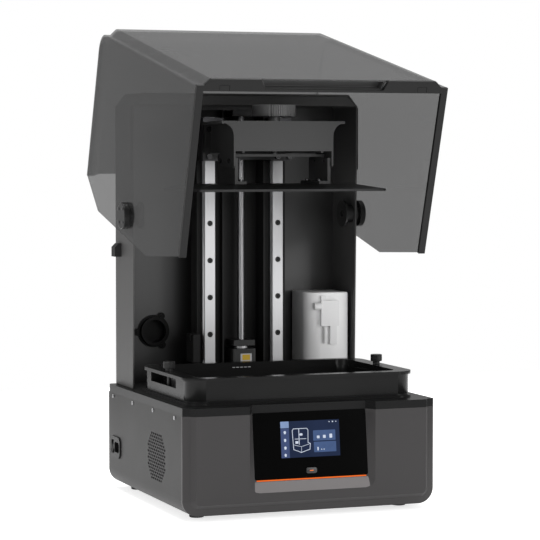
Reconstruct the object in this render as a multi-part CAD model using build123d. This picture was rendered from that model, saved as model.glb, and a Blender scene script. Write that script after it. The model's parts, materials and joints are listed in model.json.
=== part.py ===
"""Resin printer with a flip-up cover: a base, a tower with the lift, a resin vat and a cover.

All lengths are millimetres.  While the pieces are drawn, x is 0 on the printer's middle plane,
y is 0 at the middle of the base shell (the front is -y) and z is 0 on the table.
Each piece is moved by ORIGIN_Y when it is written, so that the file's origin lies
under the middle of the whole printer with its cover open.
"""
from build123d import *
import math
import os

# ---------------------------------------------------------------- driving dimensions
SHELL_WIDTH = 400.0
SHELL_DEPTH = 375.0
FOOT_HEIGHT = 8.0
DECK_TOP = 167.3
DECK_THICKNESS = 12.0
SHELL_CORNER = 24.0
SHEET = 2.0

TOWER_HALF_WIDTH = 189.0
TOWER_TOP = 631.5
TOWER_REAR = 183.0
TOWER_SHEET = 2.5
TOWER_FRONT_LOW = 92.0
TOWER_FRONT_HIGH = 82.0

HINGE_Y = 104.0
HINGE_Z = 439.6
HINGE_PIN_R = 10.0
RUNNING_GAP = 0.05

COVER_HALF_WIDTH = 196.0
COVER_SHEET = 3.5
COVER_RIM = 6.0
# outline of the open cover's side, in (y, z), from its front rim round to the rear
RIM_FRONT = (-245.0, 633.5)
RIM_REAR = (-164.0, 385.0)
SIDE_LOW = (1.3, 380.4)
SIDE_REAR = (260.0, 443.0)
TOP_END = (325.0, 501.0)
TOP_CORNER = (241.0, 733.0)
TOP_CORNER_R = 36.0

VAT_HALF_WIDTH = 180.0
VAT_FRONT = -160.0
VAT_REAR = 70.0
VAT_BOTTOM = 172.7
VAT_TOP = 206.9
VAT_CORNER = 26.0
VAT_SCREW_X = 171.0
VAT_SCREW_Y = -37.0

PLATFORM_HALF_WIDTH = 152.0
PLATFORM_DEPTH = 170.0
PLATFORM_Y = -35.0
PLATFORM_BOTTOM = 479.8
PLATFORM_HEIGHT = 10.6

SCREW_Y = 116.0
SCREW_R = 6.0
RAIL_X = 57.6
RAIL_WIDTH = 18.0
RAIL_FRONT = 100.0
RAIL_REAR = 114.0
RAIL_PITCH = 59.0
RAIL_HOLE_Z = 249.0
RAIL_HOLES = 7

# ---------------------------------------------------------------- derived sizes
HALF_W = SHELL_WIDTH / 2
HALF_D = SHELL_DEPTH / 2
SHELL_BOTTOM = FOOT_HEIGHT
SHELL_TOP = DECK_TOP - DECK_THICKNESS
SIDES = (-1, 1)


# ---------------------------------------------------------------- shape helpers
def block(x0, x1, y0, y1, z0, z1):
    """Box between two corners."""
    centre = Pos((x0 + x1) / 2, (y0 + y1) / 2, (z0 + z1) / 2)
    return centre * Box(abs(x1 - x0), abs(y1 - y0), abs(z1 - z0))


def rod_x(r, x0, x1, y, z):
    return Pos((x0 + x1) / 2, y, z) * Rot(0, 90, 0) * Cylinder(r, abs(x1 - x0))


def rod_y(r, x, y0, y1, z):
    return Pos(x, (y0 + y1) / 2, z) * Rot(90, 0, 0) * Cylinder(r, abs(y1 - y0))


def rod_z(r, x, y, z0, z1):
    return Pos(x, y, (z0 + z1) / 2) * Cylinder(r, abs(z1 - z0))


def prism_x(points, x0, x1):
    """Outline in (y, z), carried along x."""
    face = Plane(origin=(x0, 0, 0), x_dir=(0, 1, 0), z_dir=(1, 0, 0)) * Polygon(*points, align=None)
    return extrude(face, amount=x1 - x0)


def prism_y(face, y0, y1):
    """Face drawn in (x, z), carried along y."""
    placed = Plane(origin=(0, y1, 0), x_dir=(1, 0, 0), z_dir=(0, -1, 0)) * face
    return extrude(placed, amount=y1 - y0)


def prism_z(face, z0, z1):
    """Face drawn in (x, y), carried along z."""
    return extrude(Pos(0, 0, z0) * face, amount=z1 - z0)


def outline(*points):
    return Polygon(*points, align=None)


def mirrored_outline(right_side):
    """Outline from its right-hand points, listed from low y to high y."""
    left_side = [(-x, y) for x, y in reversed(right_side)]
    return outline(*right_side, *left_side)


def rounded(x0, x1, y0, y1, r):
    return Pos((x0 + x1) / 2, (y0 + y1) / 2) * RectangleRounded(x1 - x0, y1 - y0, r)


def trough(half_width, low, high, r):
    """Rectangle in (x, z) with its two lower corners rounded."""
    face = Pos(0, (low + high) / 2) * Rectangle(2 * half_width, high - low)
    return fillet(face.vertices().group_by(Axis.Y)[0], r)


def vent_field(half_u, half_v, pitch, row_step):
    """Flattened hexagonal holes on a staggered grid inside an octagon half_u by half_v."""
    hole = outline((-3.4, 0), (-1.6, -1.9), (1.6, -1.9), (3.4, 0), (1.6, 1.9), (-1.6, 1.9))
    rows = int(half_v / row_step)
    spots = []
    for row in range(-rows, rows + 1):
        shift = pitch / 2 if row % 2 else 0
        count = int(half_u / pitch) + 1
        for column in range(-count, count + 1):
            u = column * pitch + shift
            v = row * row_step
            inside = abs(u) <= half_u - 3 and abs(v) <= half_v - 2
            if inside and abs(u) / half_u + abs(v) / half_v <= 1.45:
                spots.append((u, v))
    return [Pos(u, v) * hole for u, v in spots]


def write(name, *pieces):
    """Write one node; each piece stays a separate solid."""
    solids = [solid for piece in pieces for solid in piece.solids()]
    moved = [solid.moved(Location((0, -ORIGIN_Y, 0))) for solid in solids]
    node = moved[0] if len(moved) == 1 else Compound(children=moved)
    export_step(node, os.path.join("parts", name + ".step"))


# ---------------------------------------------------------------- base: shell, fascia, deck
FASCIA_REAR = -180.0
FASCIA_EDGE = -HALF_D
FASCIA_STEP = -190.5
FASCIA_FRONT = -199.5
BORDER = 10.5
BEVEL = 6.5
DISPLAY_HALF_WIDTH = 90.5
DISPLAY_MOUTH = 100.0
DISPLAY_LOW = (-194.5, 54.9)
DISPLAY_TILT = math.atan2(11.5, 100.1)
DISPLAY_HEIGHT = 100.4
DISPLAY_THICK = 2.5
SIDE_SCREW_Z = 149.8
SIDE_SCREW_Y = [-152.2 + 104.4 * k for k in range(4)]
VENT_CENTRE = (-63.5, 81.0)
VENT_HALF = (44.0, 40.0)
INLET_CENTRE = (145.8, 70.0)
INLET_HALF = (22.5, 15.5)
USB_CENTRE = (-120.0, 118.0)


def side_face_plane(side):
    """Plane on the shell's side: u runs along y, v along z, normal outward in x."""
    return Plane(origin=(side * HALF_W, 0, 0), x_dir=(0, 1, 0), z_dir=(1, 0, 0))


def make_base_shell():
    outer = trough(HALF_W, SHELL_BOTTOM, SHELL_TOP, SHELL_CORNER)
    inner = trough(HALF_W - SHEET, SHELL_BOTTOM + SHEET, SHELL_TOP + 5, SHELL_CORNER - SHEET)
    shell = prism_y(outer - inner, FASCIA_REAR + 0.5, HALF_D)
    holes = []
    for side in SIDES:
        field = Pos(*VENT_CENTRE) * Sketch(children=vent_field(*VENT_HALF, 9.0, 4.85))
        holes.append(extrude(side_face_plane(side) * field, amount=6, both=True))
        for y in SIDE_SCREW_Y:
            holes.append(rod_x(1.7, side * (HALF_W - 8), side * (HALF_W + 1), y, SIDE_SCREW_Z))
    inlet = Pos(*INLET_CENTRE) * Rectangle(2 * INLET_HALF[0], 2 * INLET_HALF[1] - 4)
    holes.append(extrude(side_face_plane(-1) * inlet, amount=6, both=True))
    usb = Pos(*USB_CENTRE) * Rectangle(15, 7.5)
    holes.append(extrude(side_face_plane(1) * usb, amount=6, both=True))
    for x in (-FOOT_X, FOOT_X):
        for y in (FOOT_FRONT_Y, FOOT_REAR_Y):
            holes.append(rod_z(2.1, x, y, SHELL_BOTTOM - 1, SHELL_BOTTOM + SHEET + 1))
    for piece in holes:
        shell = shell - piece
    write("base_shell", shell)


def bevelled_front():
    """Fascia block: a flat border that slopes forward, then a bevel up to the raised panel."""
    tall = SHELL_TOP + 40
    levels = [(FASCIA_EDGE, 0.0), (FASCIA_STEP, BORDER), (FASCIA_FRONT, BORDER + BEVEL)]
    faces = []
    for y, inset in levels:
        face = trough(HALF_W - inset, SHELL_BOTTOM + inset, tall, SHELL_CORNER - inset)
        faces.append(Plane(origin=(0, y, 0), x_dir=(1, 0, 0), z_dir=(0, -1, 0)) * face)
    body = prism_y(trough(HALF_W, SHELL_BOTTOM, tall, SHELL_CORNER), FASCIA_EDGE, FASCIA_REAR)
    body = body + loft([faces[0], faces[1]], ruled=True) + loft([faces[1], faces[2]], ruled=True)
    return body - block(-HALF_W - 1, HALF_W + 1, FASCIA_FRONT - 1, FASCIA_REAR + 1, SHELL_TOP, tall + 1)


def display_plane(depth=0.0):
    """Plane of the display's face, moved back by depth; x is x and y runs up the face."""
    normal = (0, -math.cos(DISPLAY_TILT), math.sin(DISPLAY_TILT))
    y0 = DISPLAY_LOW[0] - normal[1] * depth
    z0 = DISPLAY_LOW[1] - normal[2] * depth
    return Plane(origin=(0, y0, z0), x_dir=(1, 0, 0), z_dir=normal)


def display_recess():
    """Drafted pocket that runs from the fascia's front back to the tilted display."""
    mouth_low = 38.5
    top = SHELL_TOP + 30
    mouth = Pos(0, (mouth_low + top) / 2) * Rectangle(2 * DISPLAY_MOUTH, top - mouth_low)
    mouth = fillet(mouth.vertices().group_by(Axis.Y)[0], 15)
    mouth = Plane(origin=(0, FASCIA_FRONT, 0), x_dir=(1, 0, 0), z_dir=(0, -1, 0)) * mouth
    height = DISPLAY_HEIGHT + 30
    floor = Pos(0, height / 2) * Rectangle(2 * DISPLAY_HALF_WIDTH, height)
    floor = fillet(floor.vertices().group_by(Axis.Y)[0], 5)
    return loft([mouth, display_plane() * floor], ruled=True)


def display_face(x_half, low, high, r):
    """Rounded rectangle on the display's face."""
    return rounded(-x_half, x_half, low, high, r)


def on_display(face, front, back):
    """Extrude a face drawn on the display from front to back, both measured into the fascia."""
    return extrude(display_plane(back) * face, amount=back - front)


def make_fascia():
    fascia = bevelled_front()
    fascia = fascia + block(-112, 112, FASCIA_REAR - 1, -168, 46, SHELL_TOP)
    for side in SIDES:
        x0, x1 = sorted((side * 118, side * (HALF_W - 3)))
        fascia = fascia - block(x0, x1, FASCIA_EDGE + 3, FASCIA_REAR + 1, 34, SHELL_TOP - 4)
        x0, x1 = sorted((side * 118, side * 178))
        fascia = fascia - block(x0, x1, FASCIA_FRONT + 3, FASCIA_REAR, 34, SHELL_TOP - 4)
    fascia = fascia - display_recess()
    seat = display_face(DISPLAY_HALF_WIDTH - 0.1, 2.3, DISPLAY_HEIGHT + 30, 3)
    fascia = fascia - on_display(seat, -0.5, DISPLAY_THICK)
    strip = rounded(-DISPLAY_HALF_WIDTH + 3, DISPLAY_HALF_WIDTH - 3, 0.4, 2.3, 0.6)
    fascia = fascia - on_display(strip, -0.5, 2.0)
    fascia = fascia - on_display(rounded(-62, 62, 22, 92, 4), -1, 30)
    fascia = fascia - on_display(rounded(-14, 14, 8, 19, 4), -1, 30)
    write("front_fascia", fascia)


DECK_OUTLINE = [
    (DISPLAY_HALF_WIDTH, -182.5),
    (DISPLAY_MOUTH, FASCIA_FRONT),
    (HALF_W - BORDER - BEVEL, FASCIA_FRONT),
    (HALF_W - BORDER, FASCIA_STEP),
    (HALF_W, FASCIA_EDGE),
    (HALF_W, HALF_D),
]
WINDOW_HALF = (156.0, 89.0)


def make_deck():
    deck = prism_z(mirrored_outline(DECK_OUTLINE), SHELL_TOP, DECK_TOP)
    edges = deck.edges().filter_by(Axis.Z).group_by(Axis.Y)[-1]
    deck = fillet(edges, 6)
    deck = deck - block(-HALF_W + 6, HALF_W - 6, -174, HALF_D - 6, SHELL_TOP - 1, DECK_TOP - 5)
    first = prism_z(rounded(-181, 181, VAT_FRONT - 7, TOWER_FRONT_LOW - 4, 26), DECK_TOP, DECK_TOP + 3)
    second = prism_z(rounded(-178, 178, VAT_FRONT - 3, VAT_REAR + 4, 26), DECK_TOP + 3, VAT_BOTTOM)
    deck = deck + first + second
    for side in SIDES:
        deck = deck + rod_z(8, side * VAT_SCREW_X, VAT_SCREW_Y, SHELL_TOP, DECK_TOP)
        deck = deck - rod_z(3.1, side * VAT_SCREW_X, VAT_SCREW_Y, SHELL_TOP + 1, VAT_BOTTOM + 1)
    window = rounded(-WINDOW_HALF[0], WINDOW_HALF[0], PLATFORM_Y - WINDOW_HALF[1],
                     PLATFORM_Y + WINDOW_HALF[1], 6)
    deck = deck - prism_z(window, SHELL_TOP - 1, VAT_BOTTOM + 1)
    deck = deck - block(-30, 30, SCREW_Y - 22, SCREW_Y + 22, SHELL_TOP - 1, DECK_TOP + 1)
    write("deck", deck)


def make_rear_panel():
    face = trough(HALF_W - SHEET - 0.3, SHELL_BOTTOM + SHEET + 0.3, SHELL_TOP - 0.2, SHELL_CORNER - SHEET)
    panel = prism_y(face, HALF_D - 4, HALF_D - 2)
    for ring in range(1, 5):
        slot = Circle(6 + 8 * ring) - Circle(1 + 8 * ring)
        slot = slot - Rectangle(90, 3) - Rectangle(3, 90)
        panel = panel - prism_y(Pos(FAN_X, FAN_Z) * slot, HALF_D - 8, HALF_D)
    write("rear_panel", panel)


FOOT_X = 163.0
FOOT_FRONT_Y = -142.0
FOOT_REAR_Y = 150.0
FOOT_R = 11.0


def make_feet():
    feet = []
    for x in (-FOOT_X, FOOT_X):
        for y in (FOOT_FRONT_Y, FOOT_REAR_Y):
            pad = rod_z(FOOT_R, x, y, 0, FOOT_HEIGHT)
            pad = fillet(pad.edges().group_by(Axis.Z)[0], 1.5)
            stud = rod_z(2.0, x, y, FOOT_HEIGHT, FOOT_HEIGHT + SHEET + 2)
            feet.append(pad + stud)
    write("feet", *feet)


def make_shell_screws():
    screws = []
    for side in SIDES:
        for y in SIDE_SCREW_Y:
            head = rod_x(3.0, side * HALF_W, side * (HALF_W + 1.2), y, SIDE_SCREW_Z)
            socket = rod_x(1.4, side * (HALF_W + 0.4), side * (HALF_W + 2), y, SIDE_SCREW_Z)
            shank = rod_x(1.6, side * (HALF_W - 4.5), side * HALF_W, y, SIDE_SCREW_Z)
            screws.append(head + shank - socket)
    write("shell_screws", *screws)


# ---------------------------------------------------------------- base: front controls
LCD_HALF_WIDTH = 47.0
LCD_LOW = 33.0
LCD_HIGH = 87.0
BUTTON_V = 13.2
BUTTON_HALF = (8.8, 4.7)


def make_display():
    face = display_face(DISPLAY_HALF_WIDTH - 0.4, 2.5, DISPLAY_HEIGHT + 0.2, 3)
    glass = on_display(face, 0, DISPLAY_THICK)
    glass = glass - on_display(rounded(-LCD_HALF_WIDTH, LCD_HALF_WIDTH, LCD_LOW, LCD_HIGH, 0.5), -1, 5)
    hole = Pos(0, BUTTON_V) * RectangleRounded(2 * BUTTON_HALF[0], 2 * BUTTON_HALF[1], 3.4)
    glass = glass - on_display(hole, -1, 5)
    write("display_glass", glass)

    lcd = rounded(-LCD_HALF_WIDTH + 0.1, LCD_HALF_WIDTH - 0.1, LCD_LOW + 0.1, LCD_HIGH - 0.1, 0.4)
    screen = on_display(lcd, 0.2, DISPLAY_THICK)
    carrier = on_display(rounded(-58, 58, 26, 90, 2), DISPLAY_THICK, 7)
    switch = on_display(Pos(0, BUTTON_V) * Rectangle(12, 8), DISPLAY_THICK + 3.2, DISPLAY_THICK + 9)
    write("touch_screen", screen + carrier, switch)

    cap = Pos(0, BUTTON_V) * RectangleRounded(2 * BUTTON_HALF[0] - 0.8, 2 * BUTTON_HALF[1] - 0.8, 3.0)
    rim = Pos(0, BUTTON_V) * RectangleRounded(22, 9, 3.0)
    button = on_display(cap, -0.4, DISPLAY_THICK + 1)
    button = button + on_display(rim, DISPLAY_THICK + 0.3, DISPLAY_THICK + 1.5)
    write("power_button", button)

    strip = rounded(-DISPLAY_HALF_WIDTH + 3.1, DISPLAY_HALF_WIDTH - 3.1, 0.5, 2.2, 0.5)
    write("light_strip", on_display(strip, -0.1, 1.9))


def octagon(half_u, half_v, cut):
    right = [(half_u - cut, -half_v), (half_u, cut - half_v), (half_u, half_v - cut), (half_u - cut, half_v)]
    return mirrored_outline(right)


SOCKET_U = INLET_CENTRE[0] - 8.2
ROCKER_U = INLET_CENTRE[0] + 14.0


def inlet_solid(face, out, into):
    """Extrude a face drawn on the left side from `out` mm proud to `into` mm inside."""
    plane = Plane(origin=(-HALF_W - out, 0, 0), x_dir=(0, 1, 0), z_dir=(1, 0, 0))
    return extrude(plane * face, amount=out + into)


def make_power_inlet():
    centre = Pos(*INLET_CENTRE)
    bezel = inlet_solid(centre * octagon(INLET_HALF[0] + 1.3, INLET_HALF[1] + 1.0, 6), 2.2, 0)
    tub = inlet_solid(centre * Rectangle(2 * INLET_HALF[0] - 0.4, 2 * INLET_HALF[1] - 4.4), 0, 26)
    body = bezel + tub
    body = body - inlet_solid(Pos(SOCKET_U, INLET_CENTRE[1]) * octagon(12.2, 8.2, 3), 3, 16)
    body = body - inlet_solid(Pos(ROCKER_U, INLET_CENTRE[1]) * Rectangle(13, 21.4), 3, 16)
    for step in (-1, 0, 1):
        blade = block(-HALF_W + 4, -HALF_W + 16, SOCKET_U + 5 * step - 0.8, SOCKET_U + 5 * step + 0.8,
                      INLET_CENTRE[1] + 2 * abs(step) - 4, INLET_CENTRE[1] + 2 * abs(step))
        body = body + blade
    body = body - rod_y(1.25, -HALF_W + 2, ROCKER_U - 7.5, ROCKER_U + 7.5, INLET_CENTRE[1])
    write("power_inlet", body)

    shape = [(-9.2, -1.5), (-4.0, -11.0), (4.0, -11.0), (9.2, -4.5), (9.2, -0.4), (0, 1.6), (-9.2, 4.4)]
    profile = outline(*[(-HALF_W - proud, INLET_CENTRE[1] + v) for v, proud in shape])
    rocker = prism_y(profile, ROCKER_U - 6.1, ROCKER_U + 6.1)
    rocker = rocker + rod_y(1.2, -HALF_W + 2, ROCKER_U - 7.0, ROCKER_U + 7.0, INLET_CENTRE[1])
    write("rocker_switch", rocker)


def make_usb_socket():
    y, z = USB_CENTRE
    shell = block(HALF_W - 16, HALF_W - 0.3, y - 7.3, y + 7.3, z - 3.6, z + 3.6)
    shell = shell - block(HALF_W - 13, HALF_W + 1, y - 6.5, y + 6.5, z - 2.8, z + 2.8)
    tongue = block(HALF_W - 13.5, HALF_W - 4, y - 5.5, y + 5.5, z + 0.2, z + 2.0)
    write("usb_socket", shell + tongue)


# ---------------------------------------------------------------- base: exposure unit and electrics
FAN_X = 0.0
FAN_Z = 78.0
FAN_HALF = 40.0


def make_exposure_unit():
    rim_half = (WINDOW_HALF[0] - 0.3, WINDOW_HALF[1] - 0.3)
    rim = rounded(-rim_half[0], rim_half[0], PLATFORM_Y - rim_half[1], PLATFORM_Y + rim_half[1], 5.8)
    glass_half = (150.0, 83.0)
    opening = Pos(0, PLATFORM_Y) * RectangleRounded(2 * glass_half[0], 2 * glass_half[1], 2)
    ledge = rounded(-146, 146, PLATFORM_Y - 79, PLATFORM_Y + 79, 2)
    frame = prism_z(rim, VAT_BOTTOM - 8, VAT_BOTTOM - 0.4)
    frame = frame - prism_z(opening, VAT_BOTTOM - 3.4, VAT_BOTTOM)
    frame = frame - prism_z(ledge, VAT_BOTTOM - 9, VAT_BOTTOM)
    write("screen_frame", frame)

    pane = rounded(-149.8, 149.8, PLATFORM_Y - 82.8, PLATFORM_Y + 82.8, 1.8)
    write("mask_screen", prism_z(pane, VAT_BOTTOM - 3.4, VAT_BOTTOM - 0.4))

    low = Pos(0, PLATFORM_Y, 62) * Rectangle(180, 120)
    high = Pos(0, PLATFORM_Y, SHELL_TOP + 3) * Rectangle(304, 166)
    low_in = Pos(0, PLATFORM_Y, 60) * Rectangle(174, 114)
    high_in = Pos(0, PLATFORM_Y, SHELL_TOP + 4) * Rectangle(299, 161)
    hood = loft([low, high], ruled=True) - loft([low_in, high_in], ruled=True)
    small = Pos(0, PLATFORM_Y, 62) * Rectangle(173, 113)
    large = Pos(0, PLATFORM_Y, SHELL_TOP + 3) * Rectangle(296, 158)
    lens = Pos(0, PLATFORM_Y, 76) * Box(190, 130, 3)
    write("light_hood", hood, lens & loft([small, large], ruled=True))

    board = Pos(0, PLATFORM_Y, 61) * Box(184, 124, 2)
    for i in range(-2, 3):
        for j in (-1, 0, 1):
            board = board + Pos(28 * i, PLATFORM_Y + 28 * j, 63) * Box(5, 5, 2)
    for x in (-89, 89):
        for y in (PLATFORM_Y - 59, PLATFORM_Y + 59):
            board = board + rod_z(2.5, x, y, SHELL_BOTTOM + SHEET, 60)
    write("uv_led_board", board)

    sink = Pos(0, PLATFORM_Y, 57) * Box(170, 110, 6)
    for k in range(15):
        sink = sink + Pos(-77 + 11 * k, PLATFORM_Y, 42) * Box(2.2, 110, 26)
    write("led_heatsink", sink)


def make_electrics():
    supply = block(70, 170, 40, 140, 12, 52)
    supply = supply - block(72, 168, 42, 138, 14, 50)
    write("power_supply", supply)

    board = block(-165, -55, 40, 150, 20, 21.6)
    chips = [(-140, 70, 14, 14, 3), (-110, 90, 18, 18, 4), (-85, 60, 12, 12, 8), (-80, 125, 10, 30, 11),
             (-145, 130, 20, 12, 9)]
    for x, y, dx, dy, dz in chips:
        board = board + block(x - dx / 2, x + dx / 2, y - dy / 2, y + dy / 2, 21.6, 21.6 + dz)
    for x in (-160, -60):
        for y in (45, 145):
            board = board + rod_z(3, x, y, SHELL_BOTTOM + SHEET, 20)
    write("main_board", board)


def make_fan():
    front = HALF_D - 30
    rear = HALF_D - 4
    ring = Pos(FAN_X, FAN_Z) * (Rectangle(2 * FAN_HALF, 2 * FAN_HALF) - Circle(FAN_HALF - 2))
    arm_span = 2 * FAN_HALF - 2
    spoke = Pos(FAN_X, FAN_Z) * (Rectangle(arm_span, 4) + Rectangle(4, arm_span) + Circle(16))
    frame = prism_y(ring, front, rear) + prism_y(spoke, front, front + 3)
    frame = frame + rod_y(1.5, FAN_X, front + 3, front + 16, FAN_Z)
    write("fan_frame", frame)

    rotor = rod_y(15.5, FAN_X, front + 4, rear - 3, FAN_Z) - rod_y(1.55, FAN_X, front + 3, front + 17, FAN_Z)
    for k in range(7):
        blade = Pos(25, 0, 0) * Rot(35, 0, 0) * Box(24, 1.8, 17)
        blade = Rot(0, 0, 360 / 7 * k) * blade
        rotor = rotor + Pos(FAN_X, (front + rear) / 2, FAN_Z) * Rot(90, 0, 0) * blade
    write("fan_rotor", rotor)


# ---------------------------------------------------------------- tower
PORT_X = -127.0
PORT_Z = 250.7
STRIP_Z = (511.0, 610.0)
STOP_Y = (151.0, 170.0)
STOP_Z = (373.0, 394.0)
SHOULDER_X = 173.0
SHOULDER_Z = 612.0


def make_tower():
    t = TOWER_SHEET
    w = TOWER_HALF_WIDTH
    outer = mirrored_outline([(w, DECK_TOP), (w, SHOULDER_Z), (SHOULDER_X, TOWER_TOP)])
    inner_top = (SHOULDER_X - 1.2, TOWER_TOP - t)
    inner = mirrored_outline([(w - t, DECK_TOP - 1), (w - t, SHOULDER_Z - 1), inner_top])
    wrap = prism_y(outer - inner, 70, TOWER_REAR)
    slope = [(60, DECK_TOP - 1), (TOWER_FRONT_LOW, DECK_TOP - 1), (TOWER_FRONT_HIGH, TOWER_TOP + 1),
             (60, TOWER_TOP + 1)]
    wrap = wrap - prism_x(slope, -w - 1, w + 1)
    for side in SIDES:
        wrap = wrap - rod_x(HINGE_PIN_R, side * (w - 6), side * (w + 1), HINGE_Y, HINGE_Z)
    wrap = wrap - block(-40, 40, TOWER_REAR - 1, TOWER_REAR + 1, DECK_TOP - 1, DECK_TOP + 2)
    write("tower_shell", wrap)

    under_top = TOWER_TOP - t - 0.2
    top_half = SHOULDER_X - 1.7
    slope_run = (w - t - 0.5 - top_half) / (under_top - SHOULDER_Z + 1)
    low = TOWER_TOP - 18.7
    low_half = top_half + slope_run * (under_top - low)
    header = mirrored_outline([(low_half, low), (top_half, under_top)])
    write("tower_header", prism_y(header, TOWER_FRONT_HIGH + 0.8, TOWER_FRONT_HIGH + 3.8))

    inner_half = w - t - 0.2
    back = mirrored_outline([(inner_half, DECK_TOP), (inner_half, SHOULDER_Z - 1.5), (top_half, under_top)])
    back = prism_y(back, TOWER_REAR - 2.5, TOWER_REAR - 0.5)
    back = back - rod_y(22, PORT_X, TOWER_REAR - 5, TOWER_REAR + 1, PORT_Z)
    write("tower_back", back)

    rear = TOWER_REAR - 2.5
    port = rod_y(22.8, PORT_X, rear - 9, rear, PORT_Z)
    port = port + rod_y(21.95, PORT_X, rear, TOWER_REAR - 0.5, PORT_Z)
    port = port + rod_y(21.7, PORT_X, TOWER_REAR - 0.5, TOWER_REAR + 16, PORT_Z)
    flange = rod_y(26, PORT_X, rear - 3, rear, PORT_Z)
    ear_angles = [math.radians(a) for a in (62, 182, 302)]
    ears = [(PORT_X + 27 * math.cos(a), PORT_Z + 27 * math.sin(a)) for a in ear_angles]
    for x, z in ears:
        flange = flange + rod_y(6, x, rear - 3, rear, z)
    port = port + flange - rod_y(18.5, PORT_X, rear - 10, TOWER_REAR + 17, PORT_Z)
    heads = []
    for x, z in ears:
        port = port - rod_y(1.7, x, rear - 4, rear + 1, z)
        heads.append(rod_y(2.8, x, rear - 4.6, rear - 3, z) + rod_y(1.6, x, rear - 3, rear, z))
    filter_pad = rod_y(18.4, PORT_X, TOWER_REAR + 5, TOWER_REAR + 13, PORT_Z)
    write("exhaust_port", port, filter_pad, *heads)

    strips = []
    stops = []
    for side in SIDES:
        strip = block(side * w, side * (w + 2), 85, 97, *STRIP_Z)
        strips.append(fillet(strip.edges().filter_by(Axis.Z).group_by(Axis.X)[-1 if side > 0 else 0], 0.9))
        x_out = side * (w + 11)
        stop = block(side * w, x_out, *STOP_Y, *STOP_Z)
        corner = stop.edges().filter_by(Axis.Y).group_by(Axis.X)[-1 if side > 0 else 0]
        stops.append(chamfer(corner.group_by(Axis.Z)[-1], 6))
    write("side_seals", *strips)
    write("cover_stops", *stops)


def make_hinge():
    pins = []
    washers = []
    discs = []
    screws = []
    w = TOWER_HALF_WIDTH
    for side in SIDES:
        pin = rod_x(HINGE_PIN_R - RUNNING_GAP, side * (w - TOWER_SHEET), side * 200.2, HINGE_Y, HINGE_Z)
        flange = rod_x(14.5, side * (w - TOWER_SHEET - 14), side * (w - TOWER_SHEET), HINGE_Y, HINGE_Z)
        cap_end = w - TOWER_SHEET - 16.3
        flange = flange + rod_x(21.5, side * cap_end, side * (cap_end + 2.8), HINGE_Y, HINGE_Z)
        socket_end = w - TOWER_SHEET - 12
        flange = flange - rod_x(5, side * (socket_end - 5), side * socket_end, HINGE_Y, HINGE_Z)
        pins.append(pin + flange)
        washer = rod_x(17, side * (w + 0.2), side * (COVER_HALF_WIDTH - COVER_SHEET - 0.3), HINGE_Y, HINGE_Z)
        bore = rod_x(HINGE_PIN_R + 0.02, side * w, side * COVER_HALF_WIDTH, HINGE_Y, HINGE_Z)
        washers.append(washer - bore)
        disc = rod_x(21, side * COVER_HALF_WIDTH, side * 204.4, HINGE_Y, HINGE_Z)
        rim = disc.edges().filter_by(GeomType.CIRCLE).group_by(Axis.X)[-1 if side > 0 else 0]
        disc = fillet(rim, 1.6)
        disc = disc - rod_x(HINGE_PIN_R, side * 190, side * 200.6, HINGE_Y, HINGE_Z)
        for k in range(4):
            a = math.radians(45 + 90 * k)
            y = HINGE_Y + 15 * math.cos(a)
            z = HINGE_Z + 15 * math.sin(a)
            disc = disc - rod_x(1.35, side * 190, side * 210, y, z)
            head = rod_x(2.6, side * 204.4, side * 205.3, y, z)
            screws.append(head + rod_x(1.25, side * 193.5, side * 204.4, y, z))
        discs.append(disc)
    write("hinge_pins", *pins, *washers)
    write("hinge_discs", *discs)
    write("hinge_screws", *screws)


# ---------------------------------------------------------------- cover
def unit(p, q):
    length = math.hypot(q[0] - p[0], q[1] - p[1])
    return ((q[0] - p[0]) / length, (q[1] - p[1]) / length)


def along(p, d, s):
    return (p[0] + d[0] * s, p[1] + d[1] * s)


RIM_DIR = unit(RIM_FRONT, RIM_REAR)
INWARD = (-RIM_DIR[1], RIM_DIR[0])
RIM_LENGTH = math.dist(RIM_FRONT, RIM_REAR)
ROOF_DIR = unit(RIM_FRONT, TOP_CORNER)
REAR_DIR = unit(TOP_CORNER, TOP_END)
ROOF_REACH = COVER_RIM / (ROOF_DIR[0] * INWARD[0] + ROOF_DIR[1] * INWARD[1])
RAISED = 9.5
FRONT_MOST = RIM_FRONT[0] - RAISED * RIM_DIR[0]
REAR_MOST = TOP_END[0] - RAISED * REAR_DIR[1]
ORIGIN_Y = (FRONT_MOST + REAR_MOST) / 2
STRIP = 10.5
TRAY_SLOPE = 10.0
HANDLE_HALF = 98.0
BAR_LOW = 8.8


def rim_plane(inward):
    """Plane of the cover's open rim, moved into the cover; y runs from the roof to the lower end."""
    y, z = along(RIM_FRONT, INWARD, inward)
    return Plane(origin=(0, y, z), x_dir=(1, 0, 0), z_dir=(0, INWARD[0], INWARD[1]))


def on_rim(face, start, end):
    return extrude(rim_plane(start) * face, amount=end - start)


def under_roof(height, reach):
    """Point `height` above the roof line, `reach` mm back from its front end."""
    y, z = along(RIM_FRONT, ROOF_DIR, reach)
    return (y - ROOF_DIR[1] * height, z + ROOF_DIR[0] * height)


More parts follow.
